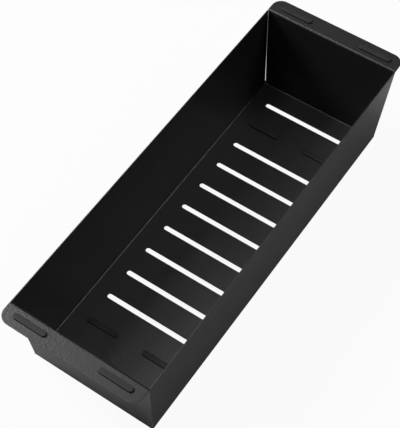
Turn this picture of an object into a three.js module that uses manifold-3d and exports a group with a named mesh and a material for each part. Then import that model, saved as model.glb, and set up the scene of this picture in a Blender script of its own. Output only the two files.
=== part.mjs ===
// Sink insert basket: a trough folded from one coated steel blank. It hangs across a sink bowl by the
// flanges at its two ends, or stands on rubber feet pushed through its floor.
// Millimetres, +Z up. +X is the right long wall, -Y the front end, and Z = 0 lies under the feet.

import * as THREE from 'three';
import { mergeVertices } from 'three/addons/utils/BufferGeometryUtils.js';
import Module from 'manifold-3d';

// Folded pan
const rimWidth = 141;         // over the long walls' outer faces, at the rim
const rimLength = 394;        // over the end walls' outer faces, at the rim
const panDepth = 99;          // floor underside to rim
const sheet = 1;              // steel thickness
const bendRadius = 1.5;       // inside radius of every fold
const sideLean = 3.5;         // degrees that a long wall leans outwards
const endLean = 4;            // degrees that an end wall leans outwards
const flangeReach = 18;       // flange beyond the end wall's outer face
const flangeCorner = 10.5;    // plan radius of a flange's outer corners
const seamStart = 2.4;        // height over the floor's underside where a corner's open seam starts
const seamWidest = 0.85;      // width of that mitred seam where it starts
const seamAtRim = 0.1;        // the same seam at the rim

// Drain slots, in evenly spaced rows. The second row from each end holds feet instead of a slot.
const slotRows = 12;
const slotWidth = 5;
const slotLand = 15.1;        // floor left between a slot's end and the long wall's fold
const rowLand = 22.75;        // floor left between the last row and the end wall's fold

// Rubber moulding, the same for pads and feet: a head above the sheet, a neck in the hole, a foot below
const headLength = 34;
const headWidth = 5.6;
const headHeight = 1.6;
const headRound = 0.5;        // rounding of the head's upper edge
const headLip = 0.7;          // head beyond the edge of its hole, all round
const neckClearance = 0.25;   // neck to the edge of its hole, all round
const footFlare = 1.7;        // foot beyond the head, all round
const footHeight = 2.5;
const footTaper = 0.4;        // how far the foot's sides draw in towards its sole
const footRound = 0.6;        // rounding of the foot's lower edge
const feetApart = 61.2;       // between the middles of the two feet in a row
const flangePadLand = 10.2;   // flange left between a pad's head and the flange's side edge
const flangePadLine = 8.2;    // end wall's outer face to the pads' centre line

// Facets of round stretches, and how far a cutter runs past what it cuts
const bendSteps = 6;
const cornerSteps = 5;
const seamSteps = 3;
const slotEndSteps = 5;
const rubberEndSteps = 8;
const rubberEdgeSteps = 2;
const cutOverrun = 2;

// Sizes that follow from a wall's lean. Its fold turns it up by less than a right angle, about the sheet's
// middle line. Its straight length ends at a bare rim, or at a second fold that turns out a level flange.
const foldRadius = bendRadius + sheet / 2;
function leaningWall(lean) {
  const angle = THREE.MathUtils.degToRad(90 - lean);
  const foldRun = foldRadius * Math.sin(angle);
  const foldRise = foldRadius * (1 - Math.cos(angle));
  const edgeDrop = (sheet / 2) * Math.cos(angle);
  const toRim = (panDepth - sheet / 2 - foldRise - edgeDrop) / Math.sin(angle);
  const toFlange = (panDepth - sheet - 2 * foldRise) / Math.sin(angle);
  const reach = foldRun + toRim * Math.cos(angle) + (sheet / 2) * Math.sin(angle);
  return { angle, foldRun, edgeDrop, toRim, toFlange, reach };
}
const longWall = leaningWall(sideLean);
const endWall = leaningWall(endLean);

// Sizes that follow for the whole pan
const floorHalfWidth = rimWidth / 2 - longWall.reach;
const floorHalfLength = rimLength / 2 - endWall.reach;
const flangeEdge = rimLength / 2 + flangeReach;
const flangeRun = 2 * endWall.foldRun + endWall.toFlange * Math.cos(endWall.angle);
const flangeFlat = flangeEdge - floorHalfLength - flangeRun;
const rowPitch = (2 * (floorHalfLength - rowLand)) / (slotRows - 1);
const footRow = floorHalfLength - rowLand - rowPitch;
const slotLength = 2 * (floorHalfWidth - slotLand);
const holeLength = headLength - 2 * headLip;
const holeWidth = headWidth - 2 * headLip;
const flangePadX = rimWidth / 2 - flangePadLand - headLength / 2;
const flangePadY = rimLength / 2 + flangePadLine;
const floorFootX = feetApart / 2;

const blackCoat = new THREE.MeshStandardMaterial({ color: 0x2b2c2e, roughness: 0.5, metalness: 0.2 });
const blackRubber = new THREE.MeshStandardMaterial({ color: 0x151515, roughness: 0.85, metalness: 0 });

const wasm = await Module();
wasm.setup();

// A closed mesh as a solid that can be joined and cut.
function toSolid(geometry) {
  const bare = geometry.clone();
  bare.deleteAttribute('normal');
  bare.deleteAttribute('uv');
  const merged = mergeVertices(bare);
  const vertProperties = Float32Array.from(merged.attributes.position.array);
  const triVerts = Uint32Array.from(merged.index.array);
  return new wasm.Manifold(new wasm.Mesh({ numProp: 3, vertProperties, triVerts }));
}

// The finished solid as a mesh again.
function toGeometry(solid) {
  const { vertProperties, triVerts } = solid.getMesh();
  const geometry = new THREE.BufferGeometry();
  geometry.setAttribute('position', new THREE.BufferAttribute(vertProperties, 3));
  geometry.setIndex(new THREE.BufferAttribute(triVerts, 1));
  geometry.computeVertexNormals();
  return geometry;
}

// Section of folded sheet: walks the sheet's middle line from a start point, straight for each leg's length
// and then round its fold, and leaves half the sheet on either hand.
function sheetSection(start, heading, legs) {
  const left = [];
  const right = [];
  const at = start.clone();
  let angle = heading;
  const along = () => new THREE.Vector2(Math.cos(angle), Math.sin(angle));
  const across = () => new THREE.Vector2(-Math.sin(angle), Math.cos(angle));
  const mark = () => {
    left.push(at.clone().addScaledVector(across(), sheet / 2));
    right.push(at.clone().addScaledVector(across(), -sheet / 2));
  };
  mark();
  for (const { length, fold = 0 } of legs) {
    at.addScaledVector(along(), length);
    mark();
    const swing = Math.sign(fold) * foldRadius;
    const centre = at.clone().addScaledVector(across(), swing);
    const turnedFrom = angle;
    for (let step = 1; fold !== 0 && step <= bendSteps; step += 1) {
      angle = turnedFrom + (fold * step) / bendSteps;
      at.copy(centre).addScaledVector(across(), -swing);
      mark();
    }
  }
  return new THREE.Shape([...right, ...left.reverse()]);
}

// Outline with round ends, its length along X.
function stadium(length, width) {
  const straight = (length - width) / 2;
  const outline = new THREE.Shape();
  outline.absarc(straight, 0, width / 2, -Math.PI / 2, Math.PI / 2, false);
  outline.absarc(-straight, 0, width / 2, Math.PI / 2, (3 * Math.PI) / 2, false);
  return outline;
}

// Upright prism of a plan outline, from one height to another.
function prism(outline, bottom, top, curveSegments) {
  const options = { depth: top - bottom, bevelEnabled: false, curveSegments };
  return new THREE.ExtrudeGeometry(outline, options).translate(0, 0, bottom);
}

// Section drawn in the X-Z plane, run along Y by the given length about the middle.
function runAlongY(section, length) {
  const options = { depth: length, bevelEnabled: false };
  return new THREE.ExtrudeGeometry(section, options).translate(0, 0, -length / 2).rotateX(Math.PI / 2);
}

// Plan line on which two walls meet: from a corner of the floor square out across the folds, on to the rim's
// corner and a little past it.
function mitreLine(acrossSign, alongSign) {
  const foldOut = bendRadius + sheet;
  const floorCorner = new THREE.Vector2(floorHalfWidth, floorHalfLength);
  const foldCorner = new THREE.Vector2(floorHalfWidth + foldOut, floorHalfLength + foldOut);
  const rimCorner = new THREE.Vector2(rimWidth / 2, rimLength / 2);
  const outwards = rimCorner.clone().sub(foldCorner).normalize();
  const beyond = rimCorner.clone().addScaledVector(outwards, cutOverrun);
  const hand = new THREE.Vector2(acrossSign, alongSign);
  return [floorCorner, foldCorner, rimCorner, beyond].map((point) => point.multiply(hand));
}

// Floor with the two long walls, whose ends are mitred to meet the end walls.
function sidePiece() {
  const { angle, edgeDrop, toRim } = longWall;
  const rimStart = new THREE.Vector2((sheet / 2) * Math.sin(angle) - rimWidth / 2, panDepth - edgeDrop);
  const legs = [
    { length: toRim, fold: angle },
    { length: 2 * floorHalfWidth, fold: angle },
    { length: toRim },
  ];
  const channel = runAlongY(sheetSection(rimStart, -angle, legs), rimLength + 2 * cutOverrun);
  const plan = new THREE.Shape([
    ...mitreLine(1, 1).reverse(),
    ...mitreLine(-1, 1),
    ...mitreLine(-1, -1).reverse(),
    ...mitreLine(1, -1),
  ]);
  const mitred = prism(plan, -cutOverrun, panDepth + cutOverrun, 1);
  return toSolid(channel).intersect(toSolid(mitred));
}

// Rear end wall with its flange and the floor up to the last row. In plan it is mitred from the floor's
// corners out to the rim's, and the flange has rounded corners.
function rearPiece() {
  const { angle, toFlange } = endWall;
  const floorStart = new THREE.Vector2(floorHalfLength - rowLand, sheet / 2);
  const legs = [
    { length: rowLand, fold: angle },
    { length: toFlange, fold: -angle },
    { length: flangeFlat },
  ];
  const strip = runAlongY(sheetSection(floorStart, 0, legs), rimWidth).rotateZ(Math.PI / 2);
  const cornerX = rimWidth / 2 - flangeCorner;
  const cornerY = flangeEdge - flangeCorner;
  const plan = new THREE.Shape();
  plan.moveTo(-floorHalfWidth, 0);
  plan.lineTo(floorHalfWidth, 0);
  for (const { x, y } of mitreLine(1, 1).slice(0, -1)) plan.lineTo(x, y);
  plan.absarc(cornerX, cornerY, flangeCorner, 0, Math.PI / 2, false);
  plan.absarc(-cornerX, cornerY, flangeCorner, Math.PI / 2, Math.PI, false);
  for (const { x, y } of mitreLine(-1, 1).slice(0, -1).reverse()) plan.lineTo(x, y);
  const mitred = prism(plan, -cutOverrun, panDepth + cutOverrun, cornerSteps);
  return toSolid(strip).intersect(toSolid(mitred));
}

// Cutters of one corner's seam, one above the other along the mitre, from the top of the fold to the rim.
// The seam's width falls with the square of the height that is left.
function seamCutters(acrossSign, alongSign) {
  const [, foldCorner, rimCorner, beyond] = mitreLine(acrossSign, alongSign);
  const outwards = rimCorner.clone().sub(foldCorner).normalize();
  const sideways = new THREE.Vector2(-outwards.y, outwards.x);
  const inside = foldCorner.clone().addScaledVector(outwards, -2 * cutOverrun);
  const levels = [];
  for (let step = 0; step <= seamSteps; step += 1) {
    const left = 1 - step / seamSteps;
    const height = panDepth - left * (panDepth - seamStart) + (step === seamSteps ? cutOverrun : 0);
    const halfWidth = THREE.MathUtils.lerp(seamAtRim, seamWidest, left * left) / 2;
    const corners = [inside, beyond].flatMap((place) => [-halfWidth, halfWidth].map((offset) => {
      const { x, y } = place.clone().addScaledVector(sideways, offset);
      return [x, y, height];
    }));
    levels.push(corners);
  }
  return levels.slice(1).map((upper, step) => wasm.Manifold.hull([...levels[step], ...upper]));
}

// Cutter of a plan outline through the sheet whose underside lies at the given height.
function throughCut(outline, underside) {
  return toSolid(prism(outline, underside - cutOverrun, underside + sheet + cutOverrun, slotEndSteps));
}

// The whole folded pan, its floor underside at Z = 0.
function panSolid() {
  const rear = rearPiece();
  const front = rear.rotate([0, 0, 180]);
  let pan = sidePiece().add(rear).add(front);
  const slot = throughCut(stadium(slotLength, slotWidth), 0);
  const hole = throughCut(stadium(holeLength, holeWidth), 0);
  for (let row = 0; row < slotRows; row += 1) {
    const y = rowLand - floorHalfLength + row * rowPitch;
    const holdsFeet = row === 1 || row === slotRows - 2;
    if (!holdsFeet) pan = pan.subtract(slot.translate([0, y, 0]));
  }
  for (const alongSign of [-1, 1]) {
    for (const acrossSign of [-1, 1]) {
      for (const cutter of seamCutters(acrossSign, alongSign)) pan = pan.subtract(cutter);
      pan = pan.subtract(hole.translate([acrossSign * floorFootX, alongSign * footRow, 0]));
      const flangeHole = hole.translate([acrossSign * flangePadX, alongSign * flangePadY, panDepth - sheet]);
      pan = pan.subtract(flangeHole);
    }
  }
  return pan;
}

// Rubber moulding on a sheet whose underside lies at Z = 0: a profile of half width against height, carried
// round an outline with round ends.
function rubberGeometry() {
  const straight = (headLength - headWidth) / 2;
  const headHalf = headWidth / 2;
  const neckHalf = holeWidth / 2 - neckClearance;
  const flareHalf = headHalf + footFlare;
  const soleHalf = flareHalf - footTaper;
  const profile = [];
  for (let step = 0; step <= rubberEdgeSteps; step += 1) {
    const turn = (step / rubberEdgeSteps) * (Math.PI / 2);
    const halfWidth = soleHalf - footRound + footRound * Math.sin(turn);
    profile.push([halfWidth, -footHeight + footRound - footRound * Math.cos(turn)]);
  }
  profile.push([flareHalf, 0], [neckHalf, 0], [neckHalf, sheet], [headHalf, sheet]);
  for (let step = 0; step <= rubberEdgeSteps; step += 1) {
    const turn = (step / rubberEdgeSteps) * (Math.PI / 2);
    const halfWidth = headHalf - headRound + headRound * Math.cos(turn);
    profile.push([halfWidth, sheet + headHeight - headRound + headRound * Math.sin(turn)]);
  }

  const ringSize = 2 * (rubberEndSteps + 1);
  const positions = [];
  for (const [halfWidth, height] of profile) {
    for (let point = 0; point < ringSize; point += 1) {
      const end = point <= rubberEndSteps ? 1 : -1;
      const step = end > 0 ? point : point - 1;
      const turn = -Math.PI / 2 + (Math.PI * step) / rubberEndSteps;
      positions.push(end * straight + halfWidth * Math.cos(turn), halfWidth * Math.sin(turn), height);
    }
  }
  const faces = [];
  for (let ring = 0; ring < profile.length - 1; ring += 1) {
    for (let point = 0; point < ringSize; point += 1) {
      const next = (point + 1) % ringSize;
      const low = ring * ringSize;
      const high = low + ringSize;
      faces.push(low + point, low + next, high + next, low + point, high + next, high + point);
    }
  }
  const top = (profile.length - 1) * ringSize;
  for (let point = 1; point < ringSize - 1; point += 1) {
    faces.push(0, point + 1, point, top, top + point, top + point + 1);
  }
  const geometry = new THREE.BufferGeometry();
  geometry.setAttribute('position', new THREE.Float32BufferAttribute(positions, 3));
  geometry.setIndex(faces);
  geometry.computeVertexNormals();
  return geometry;
}

// A named piece at its place in the basket.
function piece(name, geometry, material, x, y, z) {
  const mesh = new THREE.Mesh(geometry, material);
  mesh.name = name;
  mesh.position.set(x, y, z);
  return mesh;
}

const basket = new THREE.Group();
basket.add(piece('basket_pan', toGeometry(panSolid()), blackCoat, 0, 0, footHeight));

const rubber = rubberGeometry();
const flangeLevel = footHeight + panDepth - sheet;
for (const [end, alongSign] of [['front', -1], ['rear', 1]]) {
  for (const [side, acrossSign] of [['left', -1], ['right', 1]]) {
    const padX = acrossSign * flangePadX;
    const padY = alongSign * flangePadY;
    const footX = acrossSign * floorFootX;
    const footY = alongSign * footRow;
    basket.add(piece(`flange_pad_${end}_${side}`, rubber, blackRubber, padX, padY, flangeLevel));
    basket.add(piece(`floor_foot_${end}_${side}`, rubber, blackRubber, footX, footY, footHeight));
  }
}

export default basket;
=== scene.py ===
"""Sink insert basket: the folded pan, its rubber pads and feet, and the studio. Metres, +Z up."""
import math

import bpy
import numpy as np
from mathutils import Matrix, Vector


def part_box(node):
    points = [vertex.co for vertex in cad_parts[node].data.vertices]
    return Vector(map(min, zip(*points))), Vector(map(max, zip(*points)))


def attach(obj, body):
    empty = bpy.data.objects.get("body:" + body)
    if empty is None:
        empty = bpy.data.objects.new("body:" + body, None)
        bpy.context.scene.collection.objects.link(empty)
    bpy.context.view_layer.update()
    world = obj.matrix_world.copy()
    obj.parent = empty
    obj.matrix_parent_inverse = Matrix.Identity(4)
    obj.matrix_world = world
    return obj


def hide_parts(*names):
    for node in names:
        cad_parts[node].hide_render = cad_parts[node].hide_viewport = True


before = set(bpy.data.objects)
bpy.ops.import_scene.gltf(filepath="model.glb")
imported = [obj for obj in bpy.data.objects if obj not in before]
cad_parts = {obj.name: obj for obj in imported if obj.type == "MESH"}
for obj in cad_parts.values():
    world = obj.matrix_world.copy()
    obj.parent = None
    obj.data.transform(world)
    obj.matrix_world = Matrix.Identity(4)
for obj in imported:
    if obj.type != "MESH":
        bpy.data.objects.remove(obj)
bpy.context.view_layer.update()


# The pan: one laser-cut blank of sheet steel, folded up into a floor, four leaning walls and a
# flange at each end, then coated satin black. The walls are mitred where they meet. From just above
# the fold each corner is an open seam that narrows upwards, and the front ones close up more.
SHEET = 0.001
BEND_RADIUS = 0.0015
SIDE_LEAN = math.radians(3.5)
END_LEAN = math.radians(4)
FLANGE_REACH = 0.018
FLANGE_CORNER = 0.0105
SEAM_START = 0.0024
SEAM_TIP = 0.0006
SEAM_WIDEST = 0.00075
SEAM_TAPER = 0.048
FRONT_SEAM_TOP = 0.00004
REAR_SEAM_TOP = 0.0003
EDGE_ROUND = 0.00018
EDGE_DEPTH = 0.00018
SEAM_EDGE_DEPTH = 0.00006
SLOT_ROWS = 12
SLOT_WIDTH = 0.005
SLOT_LAND = 0.0151
HOLE_LENGTH = 0.0326
HOLE_WIDTH = 0.0042

pan_low, pan_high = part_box("basket_pan")
foot_low, foot_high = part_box("floor_foot_rear_right")
pad_low, pad_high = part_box("flange_pad_rear_right")
foot_x = (foot_low.x + foot_high.x) / 2
foot_row = (foot_low.y + foot_high.y) / 2
pad_x = (pad_low.x + pad_high.x) / 2
pad_row = (pad_low.y + pad_high.y) / 2

rim_half_width = pan_high.x
flange_edge = pan_high.y
rim_half_length = flange_edge - FLANGE_REACH
pan_depth = pan_high.z - pan_low.z
floor_middle = pan_low.z + SHEET / 2
flange_middle = pan_high.z - SHEET / 2
fold_radius = BEND_RADIUS + SHEET / 2
fold_out = BEND_RADIUS + SHEET


def leaning_wall(lean):
    """Sizes of a wall by its lean: the angle of its fold, its straight length up to a bare rim, its
    straight length up to a second fold that turns out level, and its reach at the rim, beyond the
    floor's edge."""
    angle = math.pi / 2 - lean
    rise = fold_radius * (1 - math.cos(angle))
    to_rim = (pan_depth - SHEET / 2 - rise - SHEET / 2 * math.cos(angle)) / math.sin(angle)
    to_flange = (pan_depth - SHEET - 2 * rise) / math.sin(angle)
    reach = (fold_radius + SHEET / 2) * math.sin(angle) + to_rim * math.cos(angle)
    return angle, to_rim, to_flange, reach


side_angle, side_straight, _, side_reach = leaning_wall(SIDE_LEAN)
end_angle, _, end_straight, end_reach = leaning_wall(END_LEAN)
floor_half_width = rim_half_width - side_reach
floor_half_length = rim_half_length - end_reach
row_pitch = 2 * foot_row / (SLOT_ROWS - 3)
slot_straight = floor_half_width - SLOT_LAND - SLOT_WIDTH / 2
hole_straight = (HOLE_LENGTH - HOLE_WIDTH) / 2


def grid_faces(rows, columns, closed=False):
    """Four point numbers for each face of a grid. A closed grid joins its last column to its
    first."""
    spans = columns if closed else columns - 1
    row, column = np.meshgrid(np.arange(rows - 1), np.arange(spans), indexing="ij")
    following = (column + 1) % columns
    corners = [row * columns + column, row * columns + following]
    corners += [(row + 1) * columns + following, (row + 1) * columns + column]
    return np.stack(corners, -1).reshape(-1, 4)


def sheet_patch(upper, lower, closed=False):
    """A patch of sheet: the points of its upper side, those of its lower side under them, and its
    faces. The faces run anticlockwise seen from the upper side, and are turned where they come out
    the other way."""
    faces = grid_faces(*upper.shape[:2], closed)
    upper, lower = upper.reshape(-1, 3), lower.reshape(-1, 3)
    a, b, c, d = upper[faces].transpose(1, 0, 2)
    agreement = np.sum(np.cross(c - a, d - b) * (upper - lower)[faces[:, 0]])
    return upper, lower, faces if agreement > 0 else faces[:, ::-1]


# Rows between a hole and its border, as shares of the way
HOLE_ROWS = (0, 0.035, 0.12, 0.35, 0.65, 0.92, 1)


def pierced_patch(border, centre, straight, radius, height):
    """Level sheet between a closed border and a hole with round ends. A hole point lies one radius
    out from the hole's spine, towards its border point. The rows step from one to the other."""
    spine_xs = np.clip(border[:, 0], centre[0] - straight, centre[0] + straight)
    spine = np.stack([spine_xs, np.full(len(border), centre[1])], -1)
    out = border - spine
    hole = spine + (radius + EDGE_ROUND) * out / np.linalg.norm(out, axis=1, keepdims=True)
    plan = hole + (border - hole) * np.array(HOLE_ROWS)[:, None, None]
    level = np.full(plan.shape[:2] + (1,), height)
    upper = np.concatenate([plan, level + SHEET / 2], -1)
    lower = np.concatenate([plan, level - SHEET / 2], -1)
    return sheet_patch(upper, lower, closed=True)


def middle_line(walked, angle, straight):
    """The sheet's middle line from the floor's edge outwards, by the length walked along it: round
    the first fold, straight up the wall, and back round the second fold. Gives its reach, its rise
    and its slope."""
    fold_length = fold_radius * angle
    first = np.clip(walked / fold_radius, 0, angle)
    climbed = np.clip(walked - fold_length, 0, straight)
    second = np.clip((walked - fold_length - straight) / fold_radius, 0, angle)
    back = angle - second
    level_way = np.sin(first) + math.sin(angle) - np.sin(back)
    upright_way = 1 - np.cos(first) + np.cos(back) - math.cos(angle)
    reach = fold_radius * level_way + climbed * math.cos(angle)
    rise = fold_radius * upright_way + climbed * math.sin(angle)
    return reach, rise, first - second


def seam_inset(rise, seam_top):
    """How far a wall's flat side ends from the mitre, along the wall: nothing up to where the seam
    starts, then half the open seam and the rounding of the cut edge, across a mitre of 45 degrees.
    The seam narrows evenly with the height to its top width, and is parallel from there up. Its
    round tip opens as the root of the height over its start."""
    over_start = rise + SHEET / 2 - SEAM_START
    seam = seam_top + (SEAM_WIDEST - seam_top) * np.clip(1 - over_start / SEAM_TAPER, 0, 1)
    opened = np.sqrt(np.clip(over_start / SEAM_TIP, 0, 1))
    return opened * (seam / 2 + EDGE_ROUND) * math.sqrt(2)


def wall_sides(walked, angle, straight, columns, steepness, widest, seam_tops):
    """Inner and outer side of a wall, each a grid of place along it, reach and height. Rows go by
    the length walked up the middle line, half a sheet off it. Columns keep their share of the half
    width. That grows with the reach as the mitre goes, square across the fold and by its steepness
    above, less the inset of the seam at that end of the wall, and it stops at the widest."""
    reach, rise, slope = middle_line(walked, angle, straight)
    sides = []
    for hand in (SHEET / 2, -SHEET / 2):
        out = reach - hand * np.sin(slope)
        height = floor_middle + rise + hand * np.cos(slope)
        mitre = np.minimum(out, fold_out) + steepness * np.maximum(out - fold_out, 0)
        full = columns[-1] + mitre
        first, last = (np.minimum(full - seam_inset(rise, top), widest)[:, None] for top in seam_tops)
        along = np.where(columns < 0, first, last) * columns / columns[-1]
        sides.append(np.broadcast_arrays(along, out[:, None], height[:, None]))
    return sides


def mirrored(samples):
    """Samples from nought up, with their mirror images before them."""
    return np.concatenate([-samples[:0:-1], samples])


def joined(*runs):
    """Plan points of runs laid end to end. A run is its x and its y, and one may be a single
    value."""
    return np.concatenate([np.stack(np.broadcast_arrays(x, y), -1) for x, y in runs])


# Floor: one stretch to a row, with its slot, or two side by side where the row holds feet
SUPPORT = 0.0006
HOLE_COLUMNS = 5
SLOT_COLUMNS = 9
LAND_COLUMNS = 5
STEPS_PER_ROW = 8
rows = (np.arange(SLOT_ROWS) - (SLOT_ROWS - 1) / 2) * row_pitch
row_ends = np.concatenate([[-floor_half_length], (rows[1:] + rows[:-1]) / 2, [floor_half_length]])
hole_start = foot_x - hole_straight
to_hole = np.linspace(0, hole_start, HOLE_COLUMNS)
to_slot_end = np.linspace(hole_start, slot_straight, SLOT_COLUMNS)[1:]
to_edge = np.linspace(slot_straight, floor_half_width - SUPPORT, LAND_COLUMNS)[1:]
across = mirrored(np.concatenate([to_hole, to_slot_end, to_edge]))
steps = np.linspace(row_ends[:-1], row_ends[1:], STEPS_PER_ROW, endpoint=False, axis=1)
last_step = floor_half_length - SUPPORT
lengthways = np.concatenate([[-last_step], steps.reshape(-1)[1:], [last_step]])


def floor_border(left, right, near, far):
    """Border of a stretch of floor, anticlockwise from its near left corner."""
    xs = np.concatenate([[left], across[(across > left) & (across < right)], [right]])
    ys = np.concatenate([[near], lengthways[(lengthways > near) & (lengthways < far)], [far]])
    return joined((xs[:-1], near), (right, ys[:-1]), (xs[:0:-1], far), (left, ys[:0:-1]))


pan_patches = []
for row, near, far in zip(rows, row_ends, row_ends[1:]):
    if math.isclose(abs(row), foot_row):
        stretches = [(-floor_half_width, 0, -foot_x), (0, floor_half_width, foot_x)]
        straight, radius = hole_straight, HOLE_WIDTH / 2
    else:
        stretches = [(-floor_half_width, floor_half_width, 0)]
        straight, radius = slot_straight, SLOT_WIDTH / 2
    for left, right, middle in stretches:
        border = floor_border(left, right, near, far)
        pan_patches.append(pierced_patch(border, (middle, row), straight, radius, floor_middle))

# Long walls, right then left, from the floor's edge up to the bare rim
FOLD_ROWS = 10
SEAM_TIP_ROWS = (0.1, 0.3, 0.6, 1, 2.5)
WALL_ROWS = 10
fold_end = fold_radius * side_angle
fold_steps = np.linspace(0, fold_radius * end_angle, FOLD_ROWS)
seam_steps = fold_end + SEAM_TIP * np.array(SEAM_TIP_ROWS)
rim = fold_end + side_straight - EDGE_ROUND
wall_steps = np.linspace(seam_steps[-1], rim - SUPPORT, WALL_ROWS)[1:]
walked = np.concatenate([fold_steps, seam_steps, wall_steps, [rim]])
side_columns = np.concatenate([[-floor_half_length], lengthways, [floor_half_length]])
steepness = (end_reach - fold_out) / (side_reach - fold_out)
side_walls = wall_sides(walked, side_angle, side_straight, side_columns, steepness, flange_edge,
                        (FRONT_SEAM_TOP, REAR_SEAM_TOP))
for side in (1, -1):
    upper, lower = (np.stack([side * (floor_half_width + reach), along, height], -1)
                    for along, reach, height in side_walls)
    pan_patches.append(sheet_patch(upper, lower))

# End walls, rear then front, up to where the flange is level
FLANGE_FOLD_ROWS = 11
flange_half = rim_half_width - EDGE_ROUND
second_fold = fold_radius * end_angle + end_straight
wall_steps = np.linspace(seam_steps[-1], second_fold, WALL_ROWS)[1:]
flange_steps = second_fold + np.linspace(0, fold_radius * end_angle, FLANGE_FOLD_ROWS)[1:]
walked = np.concatenate([fold_steps, seam_steps, wall_steps, flange_steps])
end_columns = np.concatenate([[-floor_half_width], across, [floor_half_width]])
for end, seam_top in ((1, REAR_SEAM_TOP), (-1, FRONT_SEAM_TOP)):
    end_walls = wall_sides(walked, end_angle, end_straight, end_columns, 1 / steepness, flange_half,
                           (seam_top, seam_top))
    upper, lower = (np.stack([end * along, end * (floor_half_length + reach), height], -1)
                    for along, reach, height in end_walls)
    pan_patches.append(sheet_patch(upper, lower))

# Flanges: two stretches each, from the last row of the end wall, the same at both ends, to a
# rounded corner, with a hole for the rubber pad
CORNER_POINTS = 13
SIDE_POINTS = 5
OUTER_POINTS = 15
MIDDLE_POINTS = 8
along, reach, _ = end_walls[0]
flange_start = floor_half_length + reach[-1, 0]
flange_out = flange_edge - EDGE_ROUND
corner = FLANGE_CORNER - EDGE_ROUND
turn = np.linspace(0, math.pi / 2, CORNER_POINTS)
inner_xs = along[-1][along[-1] >= 0]
side_ys = np.linspace(flange_start, flange_out - corner, SIDE_POINTS)[1:-1]
corner_xs = flange_half - corner + corner * np.cos(turn)
corner_ys = flange_out - corner + corner * np.sin(turn)
outer_xs = np.linspace(flange_half - corner, 0, OUTER_POINTS)[1:]
middle_ys = np.linspace(flange_out, flange_start, MIDDLE_POINTS)[1:-1]
border = joined((inner_xs, flange_start), (flange_half, side_ys), (corner_xs, corner_ys),
                (outer_xs, flange_out), (0, middle_ys))
for side in (1, -1):
    for end in (1, -1):
        quarter = np.array([side, end])
        pan_patches.append(pierced_patch(border * quarter, quarter * (pad_x, pad_row),
                                         hole_straight, HOLE_WIDTH / 2, flange_middle))

# The patches joined to one sheet, with its cut edges rounded
MERGE_DISTANCE = 0.000001
EDGE_POINTS = 4


def thicken(patches):
    """Sheet from patches that share border points: their upper sides, their lower sides turned
    over, and along every open border a strip that joins the two round the quarters of an
    ellipse."""
    uppers, lowers, patch_faces = zip(*patches)
    starts = np.cumsum([0] + [len(upper) for upper in uppers])
    upper, lower = np.concatenate(uppers), np.concatenate(lowers)
    faces = np.concatenate([faces + start for faces, start in zip(patch_faces, starts)])
    places = np.round((upper + lower) / 2 / MERGE_DISTANCE).astype(np.int64)
    _, first, number = np.unique(places, axis=0, return_index=True, return_inverse=True)
    upper, lower, faces = upper[first], lower[first], number.reshape(-1)[faces]
    middle, through = (upper + lower) / 2, upper - lower
    through /= np.linalg.norm(through, axis=1, keepdims=True)
    count = len(upper)

    edges = np.stack([faces, np.roll(faces, -1, axis=1)], -1).reshape(-1, 2)
    open_edges = edges[~np.isin(edges @ [count, 1], edges @ [1, count])]
    start, end = open_edges.T
    edge_out = np.cross(middle[end] - middle[start], through[start] + through[end])
    edge_out /= np.linalg.norm(edge_out, axis=1, keepdims=True)
    out = np.zeros_like(middle)
    np.add.at(out, start, edge_out)
    np.add.at(out, end, edge_out)
    rim_points = np.unique(open_edges)
    out, through = out[rim_points], through[rim_points]
    out /= np.linalg.norm(out, axis=1, keepdims=True)

    x, y, z = np.abs(middle[rim_points]).T
    below_flange = z < flange_middle - 2 * fold_radius
    in_seam = (x > floor_half_width) & (y > floor_half_length) & below_flange
    depth = np.where(in_seam, SEAM_EDGE_DEPTH, EDGE_DEPTH)[:, None]
    turn = np.linspace(0, math.pi / 2, EDGE_POINTS)[1:, None, None]
    swell = EDGE_ROUND * np.sin(turn) * out
    drop = depth * (1 - np.cos(turn)) * through
    upper_round = upper[rim_points] + swell - drop
    lower_round = lower[rim_points] + swell + drop
    strip = np.concatenate([upper_round, lower_round[::-1]])
    points = np.concatenate([upper, lower, strip.reshape(-1, 3)])

    ladder = np.zeros((len(strip) + 2, count), np.int64)
    ladder[0], ladder[-1] = np.arange(count), count + np.arange(count)
    ladder[1:-1, rim_points] = 2 * count + np.arange(strip[..., 0].size).reshape(strip.shape[:2])
    joins = np.stack([ladder[:-1, start], ladder[1:, start], ladder[1:, end], ladder[:-1, end]], -1)
    faces = np.concatenate([faces, faces[:, ::-1] + count, joins.reshape(-1, 4)])
    return points, faces.tolist()


def smooth_piece(name, points, faces, material):
    """A smooth-shaded object at the origin, from points and faces of any number of corners."""
    mesh = bpy.data.meshes.new(name)
    mesh.from_pydata(points.tolist(), [], faces)
    mesh.shade_smooth()
    mesh.materials.append(material)
    piece = bpy.data.objects.new(name, mesh)
    bpy.context.scene.collection.objects.link(piece)
    return piece


# Finish: octaves of the noise in the grain that the coat and the rubber share
GRAIN_DETAIL = 3


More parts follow.
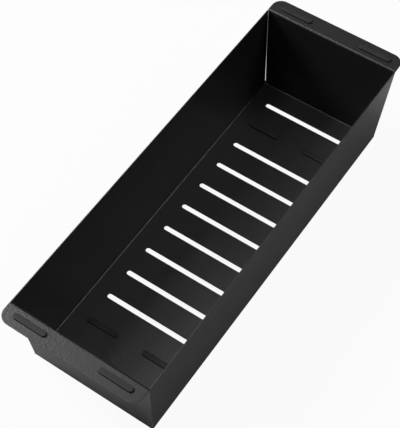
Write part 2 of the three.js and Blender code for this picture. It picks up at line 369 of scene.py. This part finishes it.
def grain_group():
    """Node group of a fine speckle and of broad, soft patches, both about one half, by place on the
    piece. The noise is scaled by one over the size."""
    group = bpy.data.node_groups.new("fine_grain", "ShaderNodeTree")
    group.interface.new_socket("Grain Size", in_out="INPUT", socket_type="NodeSocketFloat")
    group.interface.new_socket("Patch Size", in_out="INPUT", socket_type="NodeSocketFloat")
    group.interface.new_socket("Grain", in_out="OUTPUT", socket_type="NodeSocketFloat")
    group.interface.new_socket("Patches", in_out="OUTPUT", socket_type="NodeSocketFloat")
    node, link = group.nodes.new, group.links.new
    given, result = node("NodeGroupInput"), node("NodeGroupOutput")
    place = node("ShaderNodeTexCoord")
    for size, output in (("Grain Size", "Grain"), ("Patch Size", "Patches")):
        scale = node("ShaderNodeMath")
        scale.operation = "DIVIDE"
        scale.inputs[0].default_value = 1
        link(given.outputs[size], scale.inputs[1])
        noise = node("ShaderNodeTexNoise")
        noise.inputs["Detail"].default_value = GRAIN_DETAIL
        link(place.outputs["Object"], noise.inputs["Vector"])
        link(scale.outputs["Value"], noise.inputs["Scale"])
        link(noise.outputs["Fac"], result.inputs[output])
    return group


fine_grain = grain_group()


def grained_material(name, dark, light, smooth, rough, grain_size, patch_size, bump, specular):
    """A dark finish: colour between two tones by the grain, roughness between two values by the
    patches, and a bump of the grain, given as its height."""
    material = bpy.data.materials.new(name)
    material.use_nodes = True
    nodes, link = material.node_tree.nodes, material.node_tree.links.new
    shader = nodes["Principled BSDF"]
    shader.inputs["Specular IOR Level"].default_value = specular
    grain = nodes.new("ShaderNodeGroup")
    grain.node_tree = fine_grain
    grain.inputs["Grain Size"].default_value = grain_size
    grain.inputs["Patch Size"].default_value = patch_size
    tone = nodes.new("ShaderNodeMix")
    tone.data_type = "RGBA"
    tone.inputs["A"].default_value = (*dark, 1)
    tone.inputs["B"].default_value = (*light, 1)
    link(grain.outputs["Grain"], tone.inputs["Factor"])
    link(tone.outputs["Result"], shader.inputs["Base Color"])
    spread = nodes.new("ShaderNodeMapRange")
    spread.inputs["To Min"].default_value = smooth
    spread.inputs["To Max"].default_value = rough
    link(grain.outputs["Patches"], spread.inputs["Value"])
    link(spread.outputs["Result"], shader.inputs["Roughness"])
    relief = nodes.new("ShaderNodeBump")
    relief.inputs["Distance"].default_value = bump
    link(grain.outputs["Grain"], relief.inputs["Height"])
    link(relief.outputs["Normal"], shader.inputs["Normal"])
    return material


satin_coat = grained_material("satin_black_coat",
                              dark=(0.010, 0.0101, 0.0104), light=(0.015, 0.0152, 0.0156),
                              smooth=0.36, rough=0.44, grain_size=0.0014, patch_size=0.06,
                              bump=0.00018, specular=0.75)
pan = smooth_piece("folded_pan", *thicken(pan_patches), satin_coat)
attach(pan, "root")
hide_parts("basket_pan")


# The rubber: eight alike mouldings, each pushed through an oblong hole, four in the flanges and four
# in the floor. A low head shows above the sheet, a neck fills the hole, and a wider foot below takes
# the weight.
HEAD_LENGTH = 0.034
HEAD_WIDTH = 0.0056
HEAD_HEIGHT = 0.0016
HEAD_ROUND = 0.0005
HEAD_CROWN = 0.0001
NECK_CLEARANCE = 0.00025
FOOT_TAPER = 0.0004
FOOT_ROUND = 0.0006
CRISP = 0.00008
ROUND_POINTS = 7
CROWN_RINGS = 6
INNER_RING = 0.2
END_POINTS = 15
SPINE_STEPS = 9

foot_height = pad_high.z - pad_low.z - SHEET - HEAD_HEIGHT
foot_half = (pad_high.y - pad_low.y) / 2
rubber_straight = (HEAD_LENGTH - HEAD_WIDTH) / 2


def rubber_profile():
    """The moulding's profile from sole to crown: half width against height over the sheet's
    underside. Its lower and upper edges are quarter circles, and the crown falls with the square of
    the half width. Corners that stay crisp are given as pairs of near points."""
    sole_half, head_half = foot_half - FOOT_TAPER, HEAD_WIDTH / 2
    neck_half = HOLE_WIDTH / 2 - NECK_CLEARANCE
    top = SHEET + HEAD_HEIGHT - HEAD_CROWN
    quarter = np.linspace(0, math.pi / 2, ROUND_POINTS)
    sole = np.array([[sole_half - 2 * FOOT_ROUND, -foot_height]])
    sole_edge = np.stack([sole_half - FOOT_ROUND + FOOT_ROUND * np.sin(quarter),
                          -foot_height + FOOT_ROUND - FOOT_ROUND * np.cos(quarter)], -1)
    sides = np.array([[foot_half, -CRISP], [foot_half - CRISP, 0],
                      [neck_half + CRISP, 0], [neck_half, CRISP],
                      [neck_half, SHEET - CRISP], [neck_half + CRISP, SHEET],
                      [head_half - 2 * CRISP, SHEET], [head_half, SHEET + CRISP]])
    head_edge = np.stack([head_half - HEAD_ROUND + HEAD_ROUND * np.cos(quarter),
                          top - HEAD_ROUND + HEAD_ROUND * np.sin(quarter)], -1)
    share = np.linspace(1, INNER_RING, CROWN_RINGS)[1:]
    crown_half = (head_half - HEAD_ROUND) * share
    crown = np.stack([crown_half, top + HEAD_CROWN * (1 - share ** 2)], -1)
    return np.concatenate([sole, sole_edge, sides, head_edge, crown])


def carried_round(profile, straight, centre, underside):
    """A profile of half width against height carried round a spine: half a turn about its right
    end, back along it, half a turn about its left end, and along it again. The first and last rings
    are closed by one face each."""
    turn = np.linspace(-math.pi / 2, math.pi / 2, END_POINTS)
    spans = np.linspace(-1, 1, SPINE_STEPS)[1:-1]
    at_end, level, square = np.ones(END_POINTS), np.zeros(len(spans)), np.ones(len(spans))
    spine_xs = np.concatenate([at_end, -spans, -at_end, spans]) * straight
    out_xs = np.concatenate([np.cos(turn), level, -np.cos(turn), level])
    out_ys = np.concatenate([np.sin(turn), square, -np.sin(turn), -square])
    half, height = profile[:, :1], profile[:, 1:]
    xs = centre[0] + spine_xs + half * out_xs
    ys = centre[1] + half * out_ys
    points = np.stack(np.broadcast_arrays(xs, ys, underside + height), -1)
    rings, columns = points.shape[:2]
    faces = grid_faces(rings, columns, closed=True).tolist()
    sole, crown = np.arange(columns), np.arange(columns) + (rings - 1) * columns
    faces += [sole[::-1].tolist(), crown.tolist()]
    return points.reshape(-1, 3), faces


matt_rubber = grained_material("matt_black_rubber",
                               dark=(0.018, 0.018, 0.018), light=(0.026, 0.026, 0.026),
                               smooth=0.56, rough=0.64, grain_size=0.0005, patch_size=0.02,
                               bump=0.00006, specular=0.26)
profile = rubber_profile()
rubber_places = (("flange_pad", pad_x, pad_row, pan_high.z - SHEET),
                 ("floor_foot", foot_x, foot_row, pan_low.z))
for end, along_sign in (("front", -1), ("rear", 1)):
    for side, across_sign in (("left", -1), ("right", 1)):
        for kind, x, y, underside in rubber_places:
            centre = across_sign * x, along_sign * y
            points, faces = carried_round(profile, rubber_straight, centre, underside)
            moulding = smooth_piece(f"rubber_{kind}_{end}_{side}", points, faces, matt_rubber)
            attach(moulding, "root")
            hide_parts(f"{kind}_{end}_{side}")


# The studio floor: a plain pale sheet that the feet stand on. To the eye it is near white, so the
# slots and the open seams show it bright, and it keeps a faint shadow. What the coat mirrors is
# mostly its lit surface.
FLOOR_HALF = 4.0
FLOOR_TONE = (0.5, 0.5, 0.5, 1)
WHITE_TO_EYE = 0.94
WHITE_IN_GLOSS = 0.02

floor_mesh = bpy.data.meshes.new("studio_floor")
corners = FLOOR_HALF * np.array([[-1, -1, 0], [1, -1, 0], [1, 1, 0], [-1, 1, 0]])
floor_mesh.from_pydata(corners.tolist(), [], [[0, 1, 2, 3]])
floor_material = bpy.data.materials.new("pale_floor")
floor_material.use_nodes = True
nodes, link = floor_material.node_tree.nodes, floor_material.node_tree.links.new
nodes.remove(nodes["Principled BSDF"])
lit = nodes.new("ShaderNodeBsdfDiffuse")
lit.inputs["Color"].default_value = FLOOR_TONE
white = nodes.new("ShaderNodeEmission")
rays = nodes.new("ShaderNodeLightPath")
seen = nodes.new("ShaderNodeMath")
seen.operation = "MAXIMUM"
link(rays.outputs["Is Camera Ray"], seen.inputs[0])
link(rays.outputs["Is Transmission Ray"], seen.inputs[1])
seen_share = nodes.new("ShaderNodeMath")
seen_share.operation = "MULTIPLY"
seen_share.inputs[1].default_value = WHITE_TO_EYE
link(seen.outputs["Value"], seen_share.inputs[0])
white_share = nodes.new("ShaderNodeMath")
white_share.operation = "MULTIPLY_ADD"
white_share.inputs[1].default_value = WHITE_IN_GLOSS
link(rays.outputs["Is Glossy Ray"], white_share.inputs[0])
link(seen_share.outputs["Value"], white_share.inputs[2])
mixed = nodes.new("ShaderNodeMixShader")
link(white_share.outputs["Value"], mixed.inputs["Fac"])
link(lit.outputs["BSDF"], mixed.inputs[1])
link(white.outputs["Emission"], mixed.inputs[2])
link(mixed.outputs["Shader"], nodes["Material Output"].inputs["Surface"])
floor_mesh.materials.append(floor_material)
studio_floor = bpy.data.objects.new("studio_floor", floor_mesh)
bpy.context.scene.collection.objects.link(studio_floor)


# The light: a dim white room and five softboxes. The main one stands to the left, a wide weak one to
# the right, and small weak ones at the back left, at the top front and overhead. The coat shows them
# as broad soft sheen, and its walls mirror the floor that they light.
ROOM_LEVEL = 0.05
LIT_POINT = (0, 0, 0.05)
SOFTBOX_DISTANCE = 3.0
SOFTBOXES = {
    "left_softbox": dict(azimuth=183, elevation=40, width=0.9, height=1.0, watts=104),
    "back_left_softbox": dict(azimuth=151, elevation=51, width=0.5, height=0.5, watts=5.5),
    "top_front_softbox": dict(azimuth=224, elevation=66, width=0.8, height=0.8, watts=7.5),
    "overhead_softbox": dict(azimuth=300, elevation=84, width=0.8, height=0.8, watts=6),
    "right_softbox": dict(azimuth=38, elevation=49, width=1.5, height=0.6, watts=19),
}

room = bpy.data.worlds.new("dim_room")
room.use_nodes = True
background = room.node_tree.nodes["Background"]
background.inputs["Color"].default_value = (1, 1, 1, 1)
background.inputs["Strength"].default_value = ROOM_LEVEL
bpy.context.scene.world = room
for name, softbox in SOFTBOXES.items():
    azimuth, elevation = math.radians(softbox["azimuth"]), math.radians(softbox["elevation"])
    lamp = bpy.data.lights.new(name, "AREA")
    lamp.shape = "RECTANGLE"
    lamp.size, lamp.size_y = softbox["width"], softbox["height"]
    lamp.energy = softbox["watts"]
    lamp_object = bpy.data.objects.new(name, lamp)
    away = Vector((math.cos(elevation) * math.cos(azimuth),
                   math.cos(elevation) * math.sin(azimuth), math.sin(elevation)))
    lamp_object.location = Vector(LIT_POINT) + SOFTBOX_DISTANCE * away
    lamp_object.rotation_euler = away.to_track_quat("Z", "Y").to_euler()
    bpy.context.scene.collection.objects.link(lamp_object)
bpy.context.scene.view_settings.view_transform = "Standard"


# The camera: above the front right corner, looking down along the basket with a long lens. Its aim,
# angles, distance and lens were fitted to the edges, slots and flanges.
CAMERA_AIM = (-0.009765, -0.009735, 0.05)
CAMERA_AZIMUTH = math.radians(34.275)
CAMERA_ELEVATION = math.radians(56.284)
CAMERA_DISTANCE = 1.08574
CAMERA_LENS = 100.193

camera = bpy.data.cameras.new("photo_camera")
camera.lens = CAMERA_LENS
camera_object = bpy.data.objects.new("photo_camera", camera)
back = np.array([math.sin(CAMERA_AZIMUTH) * math.cos(CAMERA_ELEVATION),
                 -math.cos(CAMERA_AZIMUTH) * math.cos(CAMERA_ELEVATION),
                 math.sin(CAMERA_ELEVATION)])
camera_object.location = CAMERA_AIM + back * CAMERA_DISTANCE
camera_object.rotation_euler = (math.pi / 2 - CAMERA_ELEVATION, 0, CAMERA_AZIMUTH)
bpy.context.scene.collection.objects.link(camera_object)
bpy.context.scene.camera = camera_object
